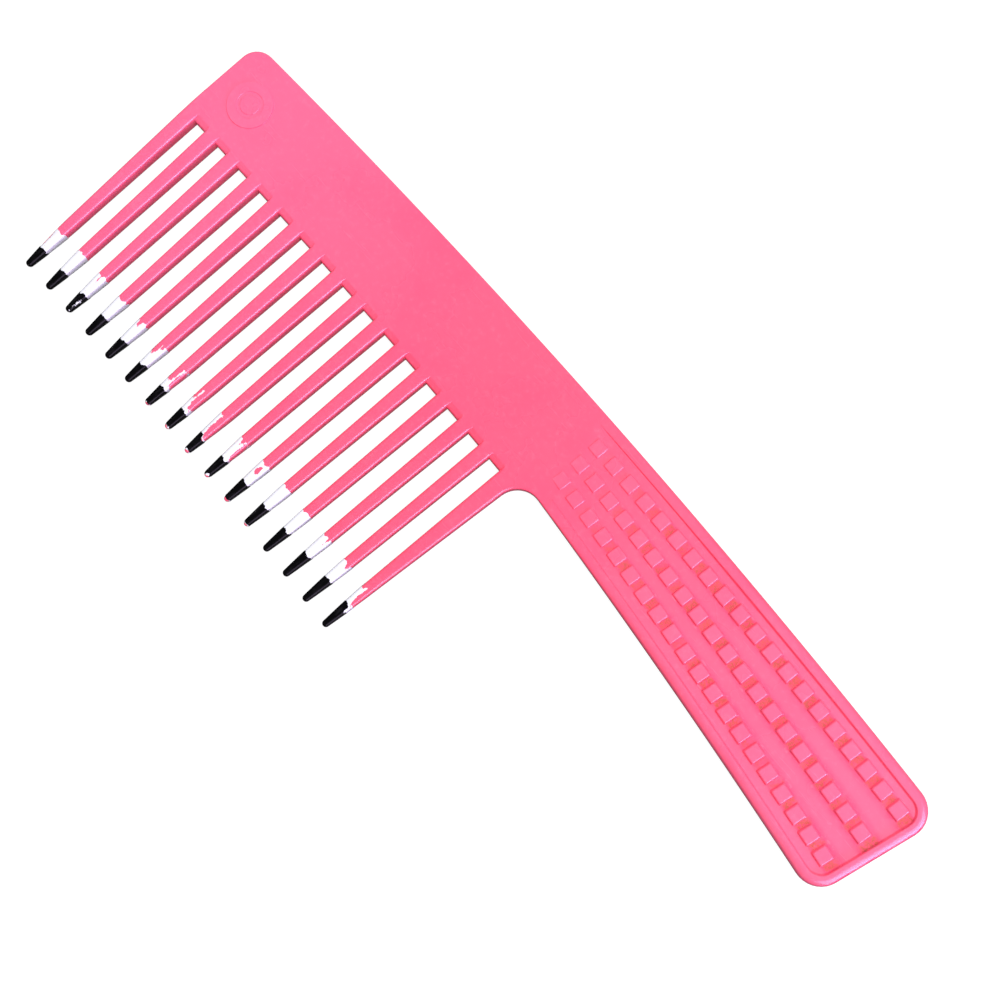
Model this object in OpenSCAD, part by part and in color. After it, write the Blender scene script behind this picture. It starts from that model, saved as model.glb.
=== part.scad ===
// Wide-tooth salon comb with a studded handle and twice-dipped tooth tips.
// Lies flat on its underside: X runs from the head to the handle's end, the
// teeth point along -Y and Z is the thickness. All sizes are in millimetres.

/* [Overall] */
// Overall length, from the head to the end of the handle
comb_length = 222; // [200:1:250]
// Thickness of the moulding at the spine, the handle's rim and the studs
body_thickness = 4.2; // [3.6:0.1:6]
// Radius of the slight arch that the back, the roots and the handle share
bend_radius = 1850; // [1500:10:3000]
// Distance from the head's end to the highest point of the back
crest_from_head = 110; // [60:1:130]

/* [Head] */
// Depth of the spine, from the crest of the back to the roots
spine_depth = 24.6; // [20:0.1:32]
// Corner radius at the top of the head
head_corner_radius = 4.7; // [1:0.1:8]
// Width of the land that slopes down into each gap between two teeth
root_land = 1.9; // [0.8:0.1:3]
// Height that the land drops below each face
root_land_drop = 0.9; // [0.3:0.1:1.5]

/* [Teeth] */
// Distance between neighbouring teeth, along the root line
tooth_pitch = 7.18; // [6.5:0.01:8.5]
// Length of the middle teeth, from the root line to the tip
tooth_length = 49.7; // [38:0.1:60]
// How much longer the last tooth is than the first
tip_fall = 1.3; // [0:0.1:2.5]
// Width of a tooth at its root
tooth_root_width = 3.65; // [2.8:0.05:4]
// Width of a tooth at the shoulder, where its tip starts to narrow
tooth_shoulder_width = 2.7; // [2.4:0.05:2.8]
// Thickness of a tooth at the shoulder
tooth_shoulder_thickness = 3.5; // [2.6:0.05:3.6]
// Distance from the tip to the shoulder
shoulder_from_tip = 13; // [9:0.1:16]
// Width of a tooth where its round end starts
tooth_tip_width = 1.6; // [1.4:0.05:2.2]
// Thickness of a tooth where its round end starts
tooth_tip_thickness = 1.7; // [1.4:0.05:2.2]
// Extra width at the root of the last tooth, on the handle's side
last_root_extra = 0.8; // [0.4:0.05:1.6]
// Lean of all the teeth towards the head, in degrees
tooth_lean = 0.2; // [0:0.05:0.5]

/* [Handle] */
// Depth of the handle where it meets the spine
neck_depth = 22.7; // [19:0.1:23]
// Angle by which the handle's lower edge flares away from the back, in degrees
flare_angle = 4.67; // [2:0.01:5.5]
// Rake of the handle's end, in degrees
end_rake = 9.7; // [0:0.1:12]
// Radius of the handle's two end corners
end_corner_radius = 6; // [4:0.1:8]
// Radius of the fillet between the last tooth and the handle
neck_fillet_radius = 5.6; // [3:0.1:8]

/* [Grip panels] */
// Width of the rim around each panel
rim_width = 2.5; // [1.8:0.1:3]
// Depth of a panel below the rim
panel_depth = 1.0; // [0.6:0.05:1.3]
// Depth of a panel at its shallow end, by the neck
panel_start_depth = 0.2; // [0.1:0.05:0.4]
// Length over which a panel slopes down to its full depth
panel_ramp = 48; // [30:1:70]
// Distance from the handle's start to the start of a panel
panel_margin = 2.6; // [2:0.1:5]
// Side of a square stud
stud_side = 3.3; // [2.4:0.05:3.8]
// Distance from a panel's start to the centre of the first studs
first_stud_inset = 3.4; // [2.6:0.1:5]
// Distance from the handle's end to the centre of the last studs
last_stud_inset = 6.3; // [5.8:0.1:12]
// Distance from the back to the row along it, as a share of the neck's depth
back_row_share = 0.273; // [0.235:0.001:0.29]
// Distance from the lower edge to the row along it, as a share of the neck's depth
belly_row_share = 0.291; // [0.235:0.001:0.3]
// Studs in a row
studs_per_row = 20; // [8:1:20]

/* [Head mark] */
// Diameter of the plain raised disc on the head
mark_diameter = 10.6; // [6:0.1:14]
// Height of the disc above the face
mark_height = 0.35; // [0.2:0.05:0.6]
// Distance from the head's end to the disc's centre
mark_from_head = 9.8; // [8:0.1:14]
// Distance from the crest of the back to the disc's centre
mark_from_crest = 13.7; // [11:0.1:15]
// Width of the ring groove in the disc
mark_groove = 0.8; // [0.4:0.1:1.2]

/* [Dipped paint] */
// Length of tip that was dipped in white
white_dip = 11.7; // [8:0.1:16]
// Length of tip that was dipped in black
black_dip = 6.1; // [3:0.1:7]
// How much deeper the last tooth was dipped than the first
dip_slant = 2.1; // [0:0.1:3]
// Thickness of one coat of paint
coat_thickness = 0.1; // [0.08:0.01:0.2]

/* [Hidden] */
TOOTH_COUNT = 16;
function two_digits(i) = i < 10 ? str("0", i) : str(i);
function tooth_node(i) = str("tooth_", two_digits(i));
function white_node(i) = str("white_coat_", two_digits(i));
function black_node(i) = str("black_coat_", two_digits(i));
BODY_NODES = ["spine", "handle", "neck_fillet", "grip_studs_face", "grip_studs_back", "head_mark"];

PINK = [0.98, 0.38, 0.56];
STUD_PINK = [1.0, 0.50, 0.68];
WHITE = [0.93, 0.93, 0.96];
BLACK = [0.05, 0.05, 0.06];

CURVE_FN = 64;          // facets of small round features
ARCH_STEPS = 24;        // straight stretches along one arch
CORNER_STEPS = 10;      // straight stretches round a corner of the outline
OVERLAP = 1;            // how far a blank runs past the face that trims it
TIP_STEPS = 5;          // straight stretches between a tooth's shoulder and its round end
TIP_CURVE = 1.4;        // how late the tip narrows: 1 is a straight taper
ROUND_STEPS = 8;        // straight stretches round the end of a tooth
FILLET_STEPS = 12;      // straight stretches round the neck fillet

// ---- plan of the body, drawn with the head's end at x = 0 and the crest at y = 0 ----

arch_centre = [crest_from_head, -bend_radius];

// Height of the arch circle around centre c, with radius r, at x
function arch_y(c, r, x) = c[1] + sqrt(r * r - (x - c[0]) * (x - c[0]));
// Vector v turned by a degrees
function turned(v, a) = [v[0] * cos(a) - v[1] * sin(a), v[0] * sin(a) + v[1] * cos(a)];
// Direction, in degrees, from point a to point b
function heading(a, b) = atan2(b[1] - a[1], b[0] - a[0]);

// Teeth: tooth i stands square to the root arch, at tooth_turn(i) degrees round it
function tooth_turn(i) = (i - (TOOTH_COUNT + 1) / 2) * tooth_pitch / bend_radius * 180 / PI;
function tooth_angle(i) = -tooth_turn(i) - tooth_lean;
block_x = -bend_radius * sin(tooth_turn(1)) + tooth_root_width / 2 * cos(tooth_turn(1));
root_centre = [block_x, -spine_depth - bend_radius];
function on_root_arch(r, a) = root_centre + r * [sin(a), cos(a)];
function tooth_root(i) = on_root_arch(bend_radius, tooth_turn(i));
function gap_middle(i) = on_root_arch(
    bend_radius / cos((tooth_turn(2) - tooth_turn(1)) / 2),
    (tooth_turn(i) + tooth_turn(i + 1)) / 2
);
function along_row(i) = (i - 1) / (TOOTH_COUNT - 1) - 0.5;
function length_of(i) = tooth_length + tip_fall * along_row(i);
function tooth_tip(i) = tooth_root(i) + turned([0, -length_of(i) - 2 * coat_thickness], tooth_angle(i));

// Where the spine ends and the handle starts
last_root_half = tooth_root_width / 2 + last_root_extra;
last_corner = tooth_root(TOOTH_COUNT) + turned([last_root_half, 0], -tooth_turn(TOOTH_COUNT));
handle_x = last_corner[0];
neck_back = [handle_x, arch_y(arch_centre, bend_radius, handle_x)];
belly_centre = neck_back + turned(arch_centre - neck_back, -flare_angle) - [0, neck_depth];

// End corners: the upper one touches the overall length
upper_corner_x = comb_length - end_corner_radius;
upper_corner = [upper_corner_x, arch_y(arch_centre, bend_radius - end_corner_radius, upper_corner_x)];
end_down = turned([0, -1], -end_rake);
// Distance from the upper corner down the rake to the circle on which the lower corner's centre lies
function rake_run(p, d, c, r) =
    let (q = p - c, b = q * d, k = q * q - r * r) -b - sqrt(b * b - k);
lower_corner = upper_corner
    + end_down * rake_run(upper_corner, end_down, belly_centre, bend_radius + end_corner_radius);

// Overall depth, from the crest to the lowest painted tip
comb_depth = -min([for (i = [1:TOOTH_COUNT]) tooth_tip(i)[1]]);

// Moves the plan so that the origin is at the middle of the underside
module centred() {
    translate([-comb_length / 2, comb_depth / 2, 0])
        children();
}

// Points on a circle of radius r around c, from one heading to another in n steps
function round_points(c, r, from, to, n) =
    [for (k = [0:n]) let (a = from + (to - from) * k / n) c + r * [cos(a), sin(a)]];
// Points on the same circle, from above or below one x to another in n steps
function arch_points(c, r, from_x, to_x, n) =
    [for (k = [0:n]) let (x = from_x + (to_x - from_x) * k / n) [x, arch_y(c, r, x)]];

// Spine outline: under the back's arch, down to the roots, as far as the handle
module spine_plan() {
    corner_x = head_corner_radius;
    corner = [corner_x, arch_y(arch_centre, bend_radius - head_corner_radius, corner_x)];
    corner_top = heading(arch_centre, corner);
    back_x = corner_x + head_corner_radius * (1 + cos(corner_top));
    polygon(concat(
        [tooth_root(1) - turned([tooth_root_width / 2, 0], -tooth_turn(1))],
        round_points(corner, head_corner_radius, 180, corner_top, CORNER_STEPS),
        arch_points(arch_centre, bend_radius, back_x, handle_x, ARCH_STEPS),
        [last_corner],
        [for (i = [TOOTH_COUNT - 1:-1:1]) gap_middle(i)]
    ));
}

// Handle outline, pulled in by inset all round but open at the neck, where it starts at from_x
module handle_plan(inset, from_x) {
    r = end_corner_radius - inset;
    upper_top = heading(arch_centre, upper_corner);
    lower_base = heading(lower_corner, belly_centre);
    back = bend_radius - inset;
    belly = bend_radius + inset;
    back_end = upper_corner[0] + r * (cos(upper_top) - 1);
    belly_end = lower_corner[0] + r * (cos(lower_base) - 1);
    polygon(concat(
        arch_points(arch_centre, back, from_x, back_end, ARCH_STEPS),
        round_points(upper_corner, r, upper_top, -end_rake, CORNER_STEPS),
        round_points(lower_corner, r, -end_rake, lower_base, CORNER_STEPS),
        arch_points(belly_centre, belly, belly_end, from_x + neck_fillet_radius, ARCH_STEPS),
        [[from_x, arch_y(belly_centre, belly, from_x)]]
    ));
}

// ---- spine ----

// Wedge that slopes one face down towards the gap after tooth i
module root_land_cut(i) {
    middle = gap_middle(i);
    gap = tooth_pitch - tooth_root_width;
    translate([middle[0], middle[1], 0])
        rotate([90, 0, 90 - (tooth_turn(i) + tooth_turn(i + 1)) / 2])
            translate([0, 0, -gap / 2])
                linear_extrude(gap)
                    polygon([
                        [root_land, 0],
                        [0, -root_land_drop],
                        [-OVERLAP, -root_land_drop],
                        [-OVERLAP, OVERLAP],
                        [root_land, OVERLAP]
                    ]);
}

module spine_solid() {
    difference() {
        linear_extrude(body_thickness)
            spine_plan();
        for (i = [1:TOOTH_COUNT - 1]) {
            translate([0, 0, body_thickness])
                root_land_cut(i);
            mirror([0, 0, 1])
                root_land_cut(i);
        }
    }
}

module spine() {
    color(PINK)
        centred()
            spine_solid();
}

// ---- teeth ----

// Half of a width that goes from root to shoulder, then curves in to the tip; v runs down from the root
function half_at(v, long, at_root, at_shoulder, at_tip) =
    let (shoulder = long - shoulder_from_tip, round_start = long - at_tip / 2)
        v <= shoulder
            ? (at_root + (at_shoulder - at_root) * max(v, 0) / shoulder) / 2
            : (at_shoulder + (at_tip - at_shoulder)
                * pow((v - shoulder) / (round_start - shoulder), TIP_CURVE)) / 2;

// Right-hand side of a tooth's outline, from the shoulder down and round to the tip
function tip_side(long, at_root, at_shoulder, at_tip, grow) =
    let (shoulder = long - shoulder_from_tip, round_start = long - at_tip / 2)
        concat(
            [for (k = [0:TIP_STEPS])
                let (v = shoulder + (round_start - shoulder) * k / TIP_STEPS)
                    [half_at(v, long, at_root, at_shoulder, at_tip) + grow, -v]],
            [for (k = [1:ROUND_STEPS])
                let (a = 90 * k / ROUND_STEPS)
                    [(at_tip / 2 + grow) * cos(a), -round_start - (at_tip / 2 + grow) * sin(a)]]
        );
// The same side mirrored, from the tip back up to the shoulder
function mirrored_side(side) = [for (k = [len(side) - 2:-1:0]) [-side[k][0], side[k][1]]];

// Plan of tooth i, grown by the thickness of its coats; its root lies along the spine's edge
module tooth_plan(i, grow) {
    side = tip_side(length_of(i), tooth_root_width, tooth_shoulder_width, tooth_tip_width, grow);
    root_line = turned([1, 0], tooth_lean);
    root_half = tooth_root_width / 2 + grow;
    extra = i == TOOTH_COUNT ? last_root_extra : 0;
    polygon(concat([root_line * (root_half + extra)], side, mirrored_side(side), [-root_line * root_half]));
}

// Side view of tooth i, with its length along -X and its thickness along Y
module tooth_side_view(i, grow) {
    side = tip_side(length_of(i), body_thickness, tooth_shoulder_thickness, tooth_tip_thickness, grow);
    root_half = body_thickness / 2 + grow;
    rotate(-90)
        polygon(concat(
            [[-root_half, OVERLAP], [root_half, OVERLAP], [root_half, 0]],
            side,
            mirrored_side(side),
            [[-root_half, 0]]
        ));
}

// Tooth i in its own place, grown by grow on every side
module tooth_blank(i, grow) {
    root = tooth_root(i);
    translate([root[0], root[1], 0])
        rotate(tooth_angle(i))
            intersection() {
                translate([0, 0, -OVERLAP])
                    linear_extrude(body_thickness + 2 * OVERLAP)
                        tooth_plan(i, grow);
                translate([-tooth_pitch / 2, 0, body_thickness / 2])
                    rotate([90, 0, 90])
                        linear_extrude(tooth_pitch)
                            tooth_side_view(i, grow);
            }
}

module tooth(i) {
    color(PINK)
        centred()
            tooth_blank(i, 0);
}

// ---- paint ----

// The stretch of tooth i that was dipped to the given depth, grown by grow
module dipped_tip(i, dip, grow) {
    depth = dip + dip_slant * along_row(i);
    root = tooth_root(i);
    intersection() {
        tooth_blank(i, grow);
        translate([root[0], root[1], 0])
            rotate(tooth_angle(i))
                translate([-tooth_pitch / 2, -length_of(i) - OVERLAP, -OVERLAP])
                    cube([tooth_pitch, depth + OVERLAP, body_thickness + 2 * OVERLAP]);
    }
}

module white_coat(i) {
    color(WHITE)
        centred()
            difference() {
                dipped_tip(i, white_dip, coat_thickness);
                tooth_blank(i, 0);
            }
}

module black_coat(i) {
    color(BLACK)
        centred()
            difference() {
                dipped_tip(i, black_dip, 2 * coat_thickness);
                tooth_blank(i, coat_thickness);
            }
}

// ---- handle ----

panel_x = handle_x + panel_margin;

// Side view of the space that one panel takes out of a face at z = 0
module panel_cut() {
    intersection() {
        translate([0, 0, -body_thickness / 2])
            linear_extrude(body_thickness)
                handle_plan(rim_width, panel_x - OVERLAP);
        translate([0, OVERLAP, 0])
            rotate([90, 0, 0])
                linear_extrude(comb_depth)
                    polygon([
                        [panel_x, OVERLAP],
                        [panel_x, -panel_start_depth],
                        [panel_x + panel_ramp, -panel_depth],
                        [comb_length, -panel_depth],
                        [comb_length, OVERLAP]
                    ]);
    }
}

module handle_solid() {
    difference() {
        linear_extrude(body_thickness)
            handle_plan(0, handle_x);
        translate([0, 0, body_thickness])
            panel_cut();
        mirror([0, 0, 1])
            panel_cut();
    }
}

module handle() {
    color(PINK)
        centred()
            handle_solid();
}

// ---- fillet between the last tooth and the handle ----

function unit(v) = v / norm(v);
// Point at distance r from two lines, each given by a point and a unit normal
function between(p, n, q, m, r) =
    let (d = n[0] * m[1] - n[1] * m[0], e = n * p + r, f = m * q + r)
        [(e * m[1] - f * n[1]) / d, (n[0] * f - m[0] * e) / d];

last_shoulder = tooth_root(TOOTH_COUNT)
    + turned([tooth_shoulder_width / 2, shoulder_from_tip - length_of(TOOTH_COUNT)], tooth_angle(TOOTH_COUNT));
edge_run = unit(last_shoulder - last_corner);
edge_normal = [-edge_run[1], edge_run[0]];
belly_start = [handle_x, arch_y(belly_centre, bend_radius, handle_x)];
belly_next_x = handle_x + neck_fillet_radius;
belly_run = unit([belly_next_x, arch_y(belly_centre, bend_radius, belly_next_x)] - belly_start);
belly_normal = [belly_run[1], -belly_run[0]];
fillet_centre = between(last_corner, edge_normal, belly_start, belly_normal, neck_fillet_radius);
fillet_from = heading([0, 0], -edge_normal);
fillet_to = heading([0, 0], -belly_normal);

module neck_fillet() {
    round = round_points(fillet_centre, neck_fillet_radius, fillet_from, fillet_to, FILLET_STEPS);
    color(PINK)
        centred()
            linear_extrude(body_thickness)
                polygon(concat([belly_start, last_corner], round));
}

// ---- grip studs ----

first_stud_x = panel_x + first_stud_inset;

// How far round the arch of radius r around c a point stands, in degrees from upright
function turn_at(c, p) = atan2(p[0] - c[0], p[1] - c[1]);

// The outer rows keep their share of the neck's depth, so the three rows stay apart on a shallow neck
back_row_inset = back_row_share * neck_depth;
belly_row_inset = belly_row_share * neck_depth;

// Where a row's last stud stands: on its arch, last_stud_inset in from the handle's end
row_end = upper_corner + turned([end_corner_radius - last_stud_inset, 0], -end_rake);
function last_stud(c, r) = row_end + end_down * rake_run(row_end, end_down, c, r);
// Stud k of the row on the arch of radius r around c, evenly spaced from the first to the last
function on_arch(c, r, k) =
    let (start = asin((first_stud_x - c[0]) / r), stop = turn_at(c, last_stud(c, r)))
        let (a = start + (stop - start) * k / (studs_per_row - 1))
            c + r * [sin(a), cos(a)];
function back_stud(k) = on_arch(arch_centre, bend_radius - back_row_inset, k);
function belly_stud(k) = on_arch(belly_centre, bend_radius + belly_row_inset, k);
// Stud k of a row: 0 along the back, 1 in the middle, 2 along the lower edge
function stud_at(row, k) = back_stud(k) * (1 - row / 2) + belly_stud(k) * row / 2;

module stud_rows() {
    for (row = [0:2]) {
        for (k = [0:studs_per_row - 1]) {
            centre = stud_at(row, k);
            translate([centre[0], centre[1], 0])
                rotate(heading(stud_at(row, k), stud_at(row, k + 1)))
                    translate([-stud_side / 2, -stud_side / 2, -panel_depth])
                        cube([stud_side, stud_side, panel_depth]);
        }
    }
}

module grip_studs_face() {
    color(STUD_PINK)
        centred()
            difference() {
                translate([0, 0, body_thickness])
                    stud_rows();
                handle_solid();
            }
}

module grip_studs_back() {
    color(STUD_PINK)
        centred()
            difference() {
                mirror([0, 0, 1])
                    stud_rows();
                handle_solid();
            }
}

// ---- plain raised disc on the head ----

module head_mark() {
    groove_middle = mark_diameter / 4;
    color(STUD_PINK)
        centred()
            translate([mark_from_head, -mark_from_crest, body_thickness])
                difference() {
                    cylinder(d = mark_diameter, h = mark_height, $fn = CURVE_FN);
                    translate([0, 0, mark_height / 2])
                        difference() {
                            cylinder(r = groove_middle + mark_groove / 2, h = mark_height, $fn = CURVE_FN);
                            translate([0, 0, -mark_height])
                                cylinder(r = groove_middle - mark_groove / 2, h = 3 * mark_height, $fn = CURVE_FN);
                        }
                }
}

spine();
handle();
neck_fillet();
grip_studs_face();
grip_studs_back();
head_mark();
for (i = [1:TOOTH_COUNT]) {
    tooth(i);
    white_coat(i);
    black_coat(i);
}
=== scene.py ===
"""Looks of a wide-tooth handled comb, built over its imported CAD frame.

The comb lies flat with its face up. Plans are worked out in bench millimetres: x runs from the
head's end towards the handle, y is zero at the crest of the back and falls towards the teeth, and
z is measured from the middle of the comb's thickness. Bench.place() turns them into row metres.
"""
import logging
import math
import random
from dataclasses import dataclass, field
from enum import Enum
from typing import Iterable, Sequence

import bmesh
import bpy
from mathutils import Matrix, Vector, noise


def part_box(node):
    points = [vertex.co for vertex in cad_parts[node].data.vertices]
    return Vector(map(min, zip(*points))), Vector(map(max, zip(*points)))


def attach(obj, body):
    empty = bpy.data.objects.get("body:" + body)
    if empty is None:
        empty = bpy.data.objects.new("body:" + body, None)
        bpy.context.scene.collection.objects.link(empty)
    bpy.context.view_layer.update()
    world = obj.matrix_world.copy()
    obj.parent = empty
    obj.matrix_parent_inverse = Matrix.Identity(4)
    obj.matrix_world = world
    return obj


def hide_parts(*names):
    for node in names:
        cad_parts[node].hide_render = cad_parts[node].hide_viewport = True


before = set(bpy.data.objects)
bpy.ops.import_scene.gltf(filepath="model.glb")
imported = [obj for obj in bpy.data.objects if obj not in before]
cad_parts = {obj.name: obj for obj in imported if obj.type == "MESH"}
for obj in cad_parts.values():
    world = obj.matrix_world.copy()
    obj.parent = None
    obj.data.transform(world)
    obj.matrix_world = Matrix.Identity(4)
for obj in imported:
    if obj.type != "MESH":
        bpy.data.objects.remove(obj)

logging.basicConfig(level=logging.INFO, format="%(message)s")
LOG = logging.getLogger("comb")

MM = 0.001
MERGE_DISTANCE = 2e-6
SHARP_ANGLE = math.radians(42)
TEETH = 16
SHORTEST_MITRE = 0.6
OFF_GRID = (-9.0, 0.0, 0.0)

Point = tuple[float, float]
Ring = tuple[float, float]


# --------------------------------------------------------------------------- plane geometry


def polar(centre: Point, radius: float, angle: float) -> Point:
    """Point at an angle, in radians, on a circle."""
    return centre[0] + radius * math.cos(angle), centre[1] + radius * math.sin(angle)


def heading(a: Point, b: Point) -> float:
    """Direction from a to b, in radians."""
    return math.atan2(b[1] - a[1], b[0] - a[0])


def blend(a: float, b: float, t: float) -> float:
    """Value between a and b."""
    return a + (b - a) * t


def smooth(t: float) -> float:
    """Smooth step of t, held between 0 and 1."""
    t = min(max(t, 0.0), 1.0)
    return t * t * (3 - 2 * t)


def spaced(a: float, b: float, steps: int) -> list[float]:
    """Evenly spaced values from a to b, both included."""
    return [blend(a, b, k / steps) for k in range(steps + 1)]


@dataclass(frozen=True)
class Station:
    """One point of the outline with the cross-section that stands on it.

    Args:
        at: place in bench millimetres.
        inward: unit direction into the material, lengthened at a corner.
        half: half of the comb's thickness here.
        arris: radius that rounds the edge.
        base: height at which the wall starts, above zero where a root land rises against it.
    """

    at: Point
    inward: Point
    half: float
    arris: float
    base: float = 0.0

    def inset(self, distance: float) -> Point:
        """Plan position a distance in from the outline."""
        return self.at[0] + self.inward[0] * distance, self.at[1] + self.inward[1] * distance


def inward_normals(points: Sequence[Point]) -> list[Point]:
    """Mitred directions to the left of a run of points, which is inward on an anticlockwise run.

    Args:
        points: the run.

    Returns:
        One direction for each point, as long as keeps offset edges parallel.
    """
    edges: list[Point] = []
    for a, b in zip(points, points[1:]):
        length = math.dist(a, b) or 1.0
        edges.append((-(b[1] - a[1]) / length, (b[0] - a[0]) / length))
    found: list[Point] = []
    for before, after in zip([edges[0]] + edges, edges + [edges[-1]]):
        scale = max(1 + before[0] * after[0] + before[1] * after[1], SHORTEST_MITRE)
        found.append(((before[0] + after[0]) / scale, (before[1] + after[1]) / scale))
    return found


# --------------------------------------------------------------------------- the comb's plan


@dataclass
class Bench:
    """Where the bench plan lies in the row frame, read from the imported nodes."""

    head_x: float = field(init=False)
    crest_y: float = field(init=False)
    middle_z: float = field(init=False)
    length: float = field(init=False)
    thickness: float = field(init=False)

    def __post_init__(self) -> None:
        """Reads the spine's and the handle's boxes."""
        low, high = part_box("spine")
        self.head_x = low.x / MM
        self.crest_y = high.y / MM
        self.middle_z = (low.z + high.z) / 2 / MM
        self.thickness = (high.z - low.z) / MM
        self.length = (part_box("handle")[1].x - low.x) / MM

    def place(self, x: float, y: float, z: float) -> Vector:
        """Bench millimetres to row metres."""
        return Vector((x + self.head_x, y + self.crest_y, z + self.middle_z)) * MM


@dataclass
class CombPlan:
    """The driving sizes of the comb, in millimetres, and the curves that follow from them."""

    bench: Bench
    bend_radius: float = 1850.0
    crest_from_head: float = 110.0
    spine_depth: float = 24.6
    head_corner: float = 4.7
    tooth_pitch: float = 7.18
    tooth_length: float = 49.7
    tip_fall: float = 1.3
    root_width: float = 3.65
    shoulder_width: float = 2.7
    shoulder_thickness: float = 3.5
    shoulder_from_tip: float = 13.0
    tip_width: float = 1.45
    tip_thickness: float = 1.7
    tip_curve: float = 1.4
    last_root_extra: float = 0.8
    tooth_lean: float = math.radians(0.2)
    neck_depth: float = 22.7
    flare: float = math.radians(4.67)
    end_rake: float = math.radians(9.7)
    end_corner: float = 6.0
    fillet_radius: float = 5.6
    land_rise: float = 1.9
    panel_margin: float = 2.6
    belly_delay: float = 3.5
    ease_lead: float = 1.5
    ease_run: float = 5.5
    back_row_share: float = 0.273
    belly_row_share: float = 0.291
    first_stud_inset: float = 3.4
    last_stud_inset: float = 6.3
    studs_per_row: int = 20
    outer_row_reach: float = 11.0

    def __post_init__(self) -> None:
        """Works out the centres and corners that the rest hangs on."""
        self.half = self.bench.thickness / 2
        self.back_centre: Point = (self.crest_from_head, -self.bend_radius)
        first = self.tooth_turn(1)
        block_x = self.bend_radius * -math.sin(first) + self.root_width / 2 * math.cos(first)
        self.root_centre: Point = (block_x, -self.spine_depth - self.bend_radius)
        self.last_half = self.root_width / 2 + self.last_root_extra
        turn = self.tooth_turn(TEETH)
        root = self.tooth_root(TEETH)
        self.last_corner: Point = (
            root[0] + self.last_half * math.cos(turn),
            root[1] - self.last_half * math.sin(turn),
        )
        self.neck_x = self.last_corner[0]
        neck_back = (self.neck_x, self.arch_y(self.back_centre, self.bend_radius, self.neck_x))
        dx, dy = self.back_centre[0] - neck_back[0], self.back_centre[1] - neck_back[1]
        c, s = math.cos(-self.flare), math.sin(-self.flare)
        self.belly_centre: Point = (
            neck_back[0] + dx * c - dy * s,
            neck_back[1] + dx * s + dy * c - self.neck_depth,
        )
        upper_x = self.bench.length - self.end_corner
        self.upper_corner: Point = (
            upper_x,
            self.arch_y(self.back_centre, self.bend_radius - self.end_corner, upper_x),
        )
        self.lower_corner = self._lower_corner()
        self.panel_x = self.neck_x + self.panel_margin
        self.back_row_inset = self.back_row_share * self.neck_depth
        self.belly_row_inset = self.belly_row_share * self.neck_depth
        self.back_row_pitch = self.row_pitch(self.back_centre, self.bend_radius - self.back_row_inset)
        self.belly_row_pitch = self.row_pitch(self.belly_centre, self.bend_radius + self.belly_row_inset)

    def row_pitch(self, centre: Point, radius: float) -> float:
        """Distance between the studs of a row that follows an arch.

        Args:
            centre: centre of the arch.
            radius: its radius.

        Returns:
            The pitch that sets the last stud in from the handle's end by last_stud_inset.
        """
        c, s = math.cos(self.end_rake), math.sin(self.end_rake)
        step_in = self.end_corner - self.last_stud_inset
        px = self.upper_corner[0] + step_in * c - centre[0]
        py = self.upper_corner[1] - step_in * s - centre[1]
        b = -px * s - py * c
        run = -b - math.sqrt(b * b - (px * px + py * py - radius * radius))
        stop = math.atan2(px - s * run, py - c * run)
        start = math.asin((self.panel_x + self.first_stud_inset - centre[0]) / radius)
        return (stop - start) * radius / (self.studs_per_row - 1)

    def _lower_corner(self) -> Point:
        """Centre of the lower end corner, down the rake from the upper one."""
        down = (-math.sin(self.end_rake), -math.cos(self.end_rake))
        px = self.upper_corner[0] - self.belly_centre[0]
        py = self.upper_corner[1] - self.belly_centre[1]
        b = px * down[0] + py * down[1]
        k = px * px + py * py - (self.bend_radius + self.end_corner) ** 2
        run = -b - math.sqrt(b * b - k)
        return self.upper_corner[0] + down[0] * run, self.upper_corner[1] + down[1] * run

    @staticmethod
    def arch_y(centre: Point, radius: float, x: float) -> float:
        """Height of an arch at x."""
        return centre[1] + math.sqrt(radius * radius - (x - centre[0]) ** 2)

    def tooth_turn(self, i: int) -> float:
        """How far round the root arch tooth i stands."""
        return (i - (TEETH + 1) / 2) * self.tooth_pitch / self.bend_radius

    def tooth_root(self, i: int) -> Point:
        """Middle of tooth i's root."""
        turn = self.tooth_turn(i)
        return (
            self.root_centre[0] + self.bend_radius * math.sin(turn),
            self.root_centre[1] + self.bend_radius * math.cos(turn),
        )

    def tooth_point(self, i: int, across: float, down: float) -> Point:
        """Plan point of tooth i, across its width and down its length."""
        angle = -self.tooth_turn(i) - self.tooth_lean
        root = self.tooth_root(i)
        c, s = math.cos(angle), math.sin(angle)
        return root[0] + across * c + down * s, root[1] + across * s - down * c

    def length_of(self, i: int) -> float:
        """Length of tooth i, longer towards the handle."""
        return self.tooth_length + self.tip_fall * ((i - 1) / (TEETH - 1) - 0.5)

    def shoulder(self, i: int) -> float:
        """How far down tooth i its tip starts to narrow."""
        return self.length_of(i) - self.shoulder_from_tip

    def _half_size(self, i: int, down: float, root: float, shoulder: float, tip: float) -> float:
        """Half of a size that tapers from root to shoulder, then curves in to the tip."""
        start = self.length_of(i) - self.tip_width / 2
        at = self.shoulder(i)
        if down <= at:
            return blend(root, shoulder, max(down, 0.0) / at) / 2
        t = min((down - at) / (start - at), 1.0)
        return blend(shoulder, tip, t**self.tip_curve) / 2

    def half_width(self, i: int, down: float, side: int) -> float:
        """Half of tooth i's width; the last tooth is wider on the handle's side."""
        root = self.root_width
        if i == TEETH and side > 0:
            root += 2 * self.last_root_extra
        return self._half_size(i, down, root, self.shoulder_width, self.tip_width)

    def half_thickness(self, i: int, down: float) -> float:
        """Half of tooth i's thickness."""
        return self._half_size(i, down, 2 * self.half, self.shoulder_thickness, self.tip_thickness)

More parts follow.
